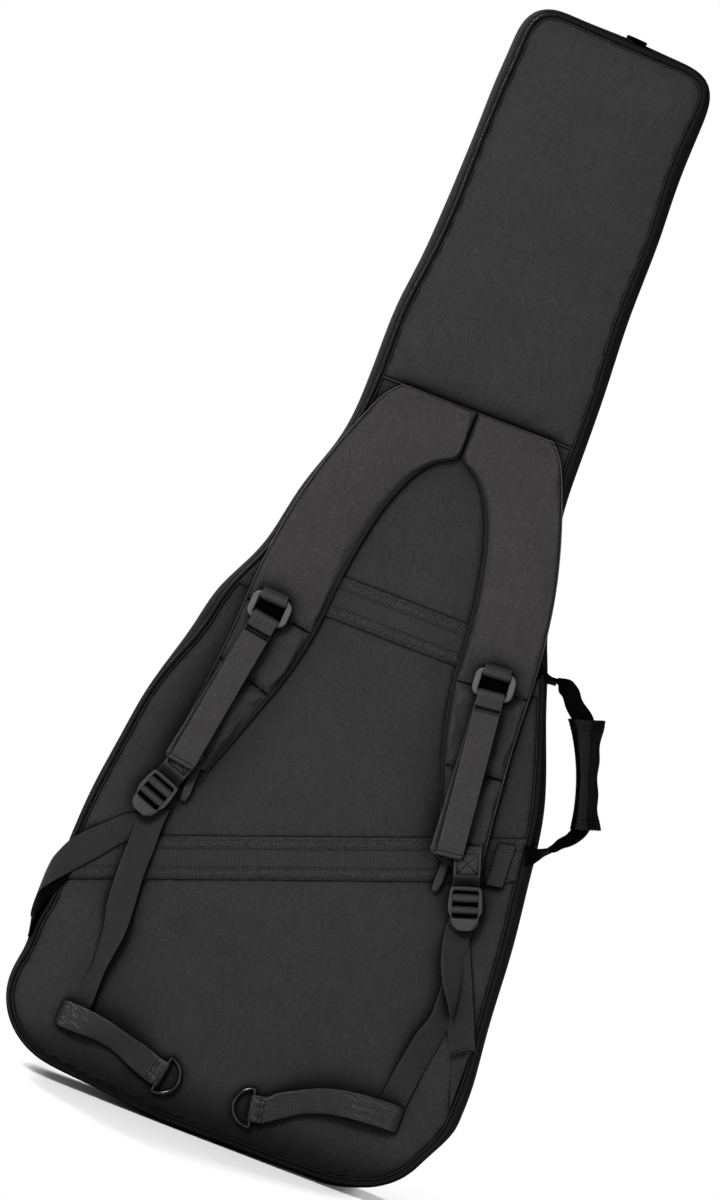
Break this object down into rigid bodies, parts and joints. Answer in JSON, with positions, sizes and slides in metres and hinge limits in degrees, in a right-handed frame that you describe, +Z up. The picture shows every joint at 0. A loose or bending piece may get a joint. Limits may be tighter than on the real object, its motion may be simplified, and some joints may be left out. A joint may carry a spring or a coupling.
{
  "type": "padded gig bag",
  "caption": "Padded guitar bag with a zipped lid that opens like a door, a side handle, buckled shoulder straps, bands of webbing, and an accessory pocket.",
  "frame": {"origin": "middle of the bottom edge, half way through the depth of the side wall", "axes": "+Z up the centre line to the head, -Y out of the strap side, +Y out of the lid with its pocket, +X towards the carrying handle"},
  "size_m": [0.4632, 0.1654, 1.092],
  "materials": {
    "shell_fabric": "matt woven polyester, fine grain",
    "pad_fabric": "matt woven polyester over foam",
    "pad_mesh": "open spacer mesh",
    "foam": "closed-cell foam",
    "lining": "smooth nylon lining",
    "piping": "corded seam tape",
    "zip_tape": "woven zip tape",
    "zip_coil": "nylon coil",
    "band_webbing": "coarse webbing",
    "strap_webbing": "polypropylene webbing, faint sheen",
    "grip_leather": "grained imitation leather",
    "ring_plastic": "moulded, satin",
    "lock_plastic": "moulded, matt",
    "wire_metal": "black, glossy",
    "slider_metal": "black, satin"
  },
  "bodies": {
    "rear_shell": {"neck_panel": "shell_fabric", "body_panel": "shell_fabric", "back_foam": "foam", "back_lining": "lining", "back_piping": "piping", "rear_gusset": "shell_fabric", "rear_gusset_foam": "foam", "rear_gusset_lining": "lining", "rear_zip_tape": "zip_tape", "rear_zip_coil": "zip_coil", "yoke_binding": "piping", "upper_band": "band_webbing", "lower_band": "band_webbing", "left_anchor_webbing": "strap_webbing", "right_anchor_webbing": "strap_webbing", "anchor_tabs": "shell_fabric", "hang_loop": "strap_webbing", "neck_cradle": "foam", "end_bumper": "foam", "handle_tabs": "band_webbing"},
    "lid": {"front_panel": "shell_fabric", "front_foam": "foam", "front_lining": "lining", "front_piping": "piping", "lid_gusset": "shell_fabric", "lid_gusset_foam": "foam", "lid_gusset_lining": "lining", "lid_zip_tape": "zip_tape", "lid_zip_coil": "zip_coil", "pocket_gusset": "shell_fabric", "pocket_panel": "shell_fabric", "pocket_piping": "piping", "pocket_zip_tape": "zip_tape"},
    "right_zip_slider": {"right_zip_slider": "slider_metal"},
    "left_zip_slider": {"left_zip_slider": "slider_metal"},
    "right_zip_pull": {"right_zip_pull": "slider_metal"},
    "left_zip_pull": {"left_zip_pull": "slider_metal"},
    "pocket_slider": {"pocket_slider": "slider_metal"},
    "pocket_pull": {"pocket_pull": "slider_metal"},
    "handle": {"handle_webbing": "strap_webbing", "handle_grip": "grip_leather"},
    "left_strap": {"left_shoulder_pad": "pad_fabric", "left_pad_mesh": "pad_mesh", "left_ring_keeper": "strap_webbing", "left_buckle_webbing": "strap_webbing"},
    "left_ring": {"left_ring": "ring_plastic"},
    "left_thumb_loop": {"left_thumb_loop": "strap_webbing"},
    "left_ladder_lock": {"left_ladder_lock": "lock_plastic"},
    "left_tail": {"left_tail_webbing": "strap_webbing"},
    "left_d_ring": {"left_d_ring": "wire_metal"},
    "right_strap": {"right_shoulder_pad": "pad_fabric", "right_pad_mesh": "pad_mesh", "right_ring_keeper": "strap_webbing", "right_buckle_webbing": "strap_webbing"},
    "right_ring": {"right_ring": "ring_plastic"},
    "right_thumb_loop": {"right_thumb_loop": "strap_webbing"},
    "right_ladder_lock": {"right_ladder_lock": "lock_plastic"},
    "right_tail": {"right_tail_webbing": "strap_webbing"},
    "right_d_ring": {"right_d_ring": "wire_metal"}
  },
  "joints": [
    {"name": "lid_hinge", "type": "hinge", "parent": "rear_shell", "child": "lid", "pos_m": [-0.218, 0.014, 0.16], "axis": [0, 0, 1], "range_deg": [0, 150]},
    {"name": "right_zip_slide", "type": "slide", "parent": "rear_shell", "child": "right_zip_slider", "axis": [1, 0, 0], "range_m": [0, 0.042]},
    {"name": "left_zip_slide", "type": "slide", "parent": "rear_shell", "child": "left_zip_slider", "axis": [-1, 0, 0], "range_m": [0, 0.054]},
    {"name": "right_pull_hinge", "type": "hinge", "parent": "right_zip_slider", "child": "right_zip_pull", "pos_m": [0.013, 0.014, 1.08795], "axis": [0, -1, 0], "range_deg": [0, 100]},
    {"name": "left_pull_hinge", "type": "hinge", "parent": "left_zip_slider", "child": "left_zip_pull", "pos_m": [-0.001, 0.014, 1.08795], "axis": [0, 1, 0], "range_deg": [0, 100]},
    {"name": "pocket_zip_slide", "type": "slide", "parent": "lid", "child": "pocket_slider", "axis": [1, 0, 0], "range_m": [0, 0.236]},
    {"name": "pocket_pull_hinge", "type": "hinge", "parent": "pocket_slider", "child": "pocket_pull", "pos_m": [-0.118, 0.08335, 0.318], "axis": [0, 0, 1], "range_deg": [0, 100]},
    {"name": "handle_swing", "type": "hinge", "parent": "rear_shell", "child": "handle", "pos_m": [0.208, -0.042, 0.363], "axis": [-0.3104, 0, 0.9506], "range_deg": [-80, 10]},
    {"name": "left_strap_swing", "type": "hinge", "parent": "rear_shell", "child": "left_strap", "pos_m": [0, -0.058, 0.715], "axis": [-1, 0, 0], "range_deg": [0, 35]},
    {"name": "left_ring_hinge", "type": "hinge", "parent": "left_strap", "child": "left_ring", "pos_m": [-0.11345, -0.075, 0.48849], "axis": [-0.9986, 0, 0.0523], "range_deg": [0, 60]},
    {"name": "left_loop_hinge", "type": "hinge", "parent": "left_ring", "child": "left_thumb_loop", "pos_m": [-0.11455, -0.075, 0.46751], "axis": [-0.9986, 0, 0.0523], "range_deg": [0, 60]},
    {"name": "left_lock_hinge", "type": "hinge", "parent": "left_strap", "child": "left_ladder_lock", "pos_m": [-0.14693, -0.067, 0.29668], "axis": [-0.9397, 0, 0.342], "range_deg": [0, 30]},
    {"name": "left_tail_hinge", "type": "hinge", "parent": "left_ladder_lock", "child": "left_tail", "pos_m": [-0.16052, -0.0636, 0.25933], "axis": [-0.9397, 0, 0.342], "range_deg": [0, 25]},
    {"name": "left_d_ring_hinge", "type": "hinge", "parent": "left_tail", "child": "left_d_ring", "pos_m": [-0.054, -0.0628, 0.0435], "axis": [-0.1908, 0, -0.9816], "range_deg": [0, 110]},
    {"name": "right_strap_swing", "type": "hinge", "parent": "rear_shell", "child": "right_strap", "pos_m": [0, -0.058, 0.715], "axis": [-1, 0, 0], "range_deg": [0, 35]},
    {"name": "right_ring_hinge", "type": "hinge", "parent": "right_strap", "child": "right_ring", "pos_m": [0.10218, -0.075, 0.49697], "axis": [-0.9969, 0, -0.0785], "range_deg": [0, 60]},
    {"name": "right_loop_hinge", "type": "hinge", "parent": "right_ring", "child": "right_thumb_loop", "pos_m": [0.10382, -0.075, 0.47603], "axis": [-0.9969, 0, -0.0785], "range_deg": [0, 60]},
    {"name": "right_lock_hinge", "type": "hinge", "parent": "right_strap", "child": "right_ladder_lock", "pos_m": [0.14652, -0.067, 0.30188], "axis": [-0.9511, 0, -0.309], "range_deg": [0, 30]},
    {"name": "right_tail_hinge", "type": "hinge", "parent": "right_ladder_lock", "child": "right_tail", "pos_m": [0.1588, -0.0636, 0.26408], "axis": [-0.9511, 0, -0.309], "range_deg": [0, 25]},
    {"name": "right_d_ring_hinge", "type": "hinge", "parent": "right_tail", "child": "right_d_ring", "pos_m": [0.035, -0.0628, 0.044], "axis": [-0.1736, 0, 0.9848], "range_deg": [0, 110]}
  ]
}
